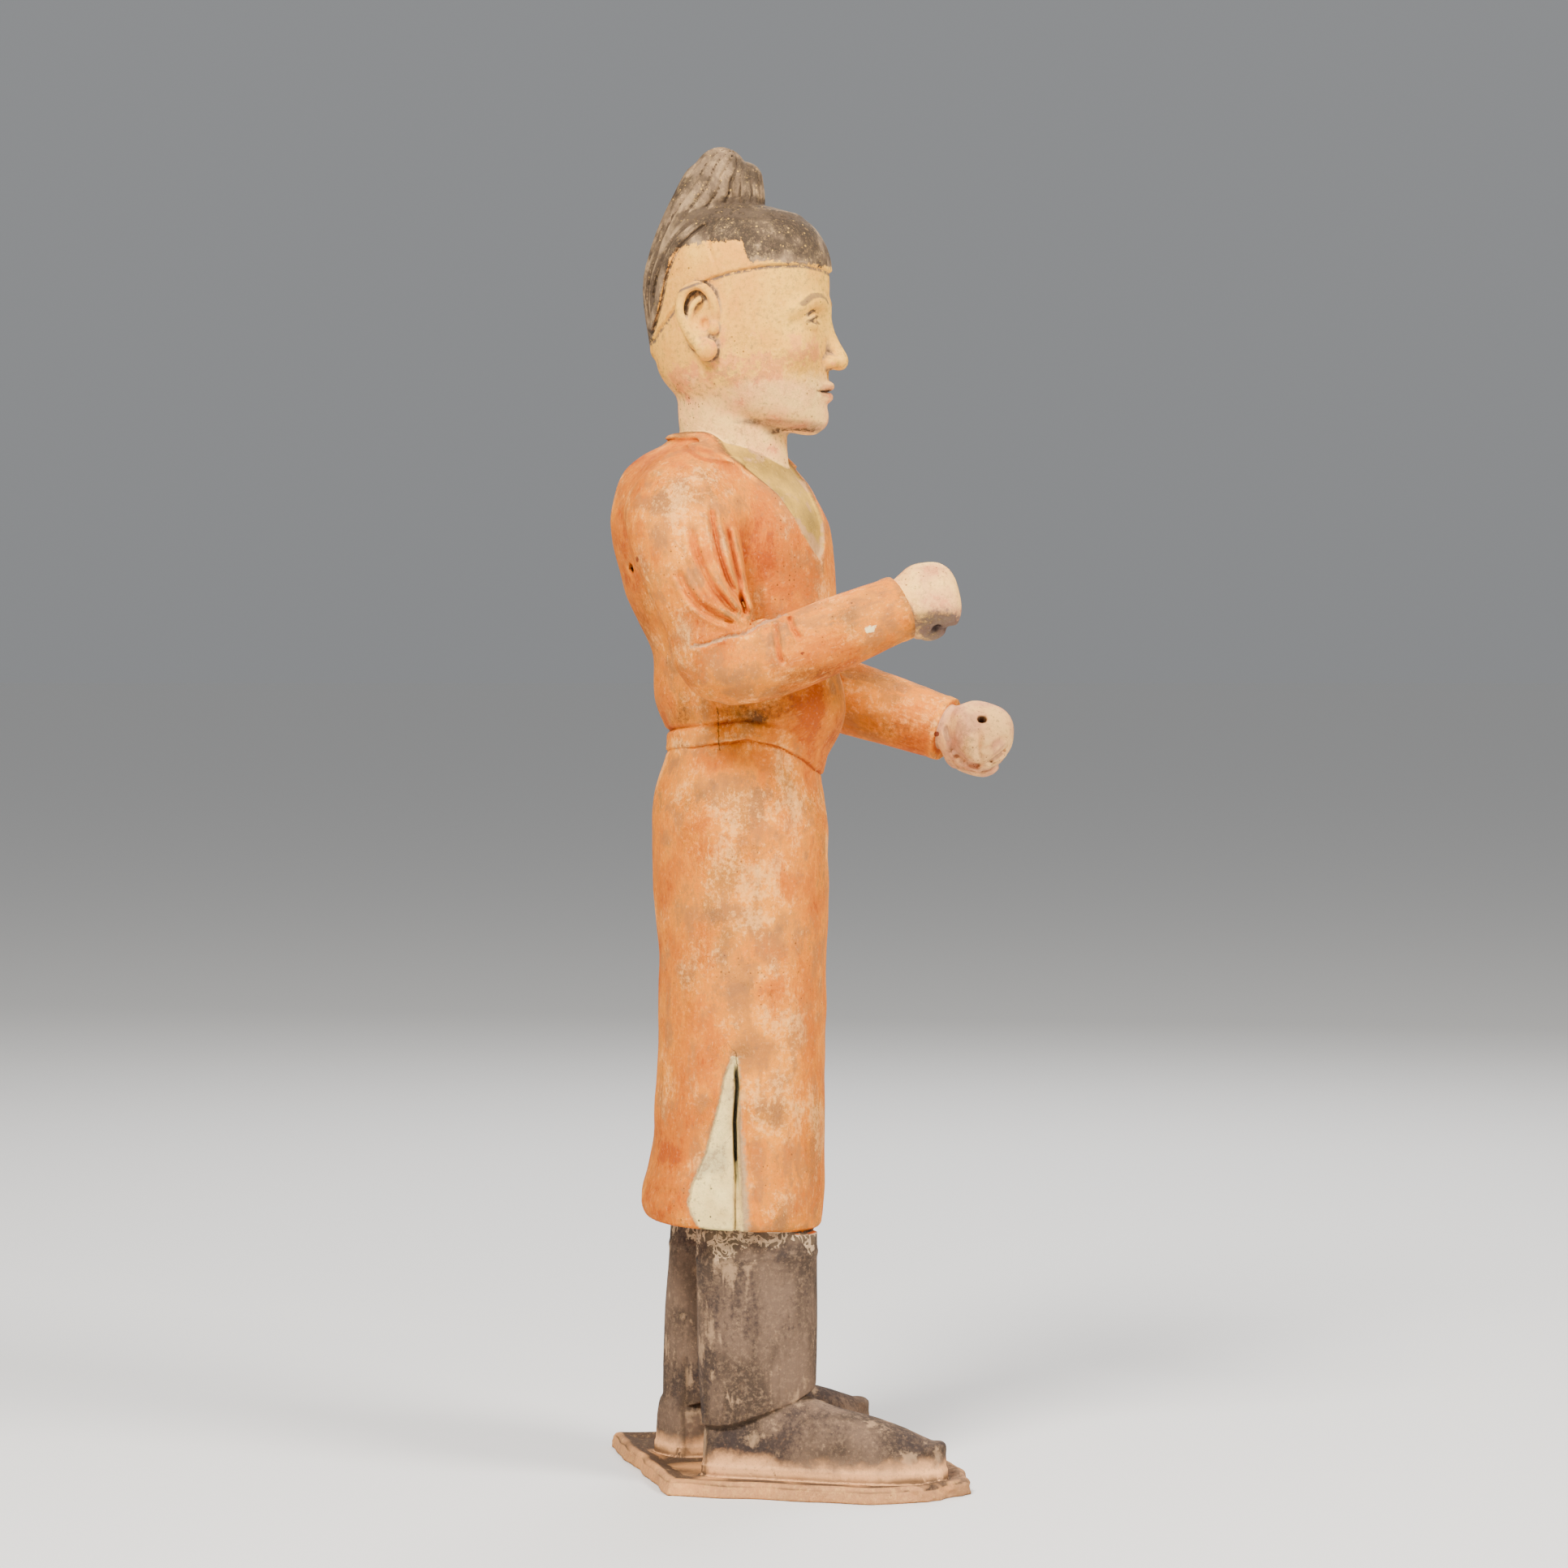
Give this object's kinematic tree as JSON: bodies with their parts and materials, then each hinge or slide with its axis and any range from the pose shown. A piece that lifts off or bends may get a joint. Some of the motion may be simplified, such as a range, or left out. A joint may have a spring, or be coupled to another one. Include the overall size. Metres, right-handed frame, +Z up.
{
  "type": "camel rider figure",
  "caption": "Standing painted pottery rider or groom in a belted coat and boots, hair in a topknot, fists held out for lost reins, on its own thin slab.",
  "frame": {"origin": "on the underside of the slab, below the axis of the coat", "axes": "+Z up along the figure; the figure faces -Y; its right side is -X"},
  "size_m": [0.2011, 0.2038, 0.655],
  "materials": {
    "painted_pottery": "matt unglazed earthenware, worn orange paint over pale slip"
  },
  "bodies": {
    "root": {"camel_rider": "painted_pottery"}
  },
  "joints": []
}
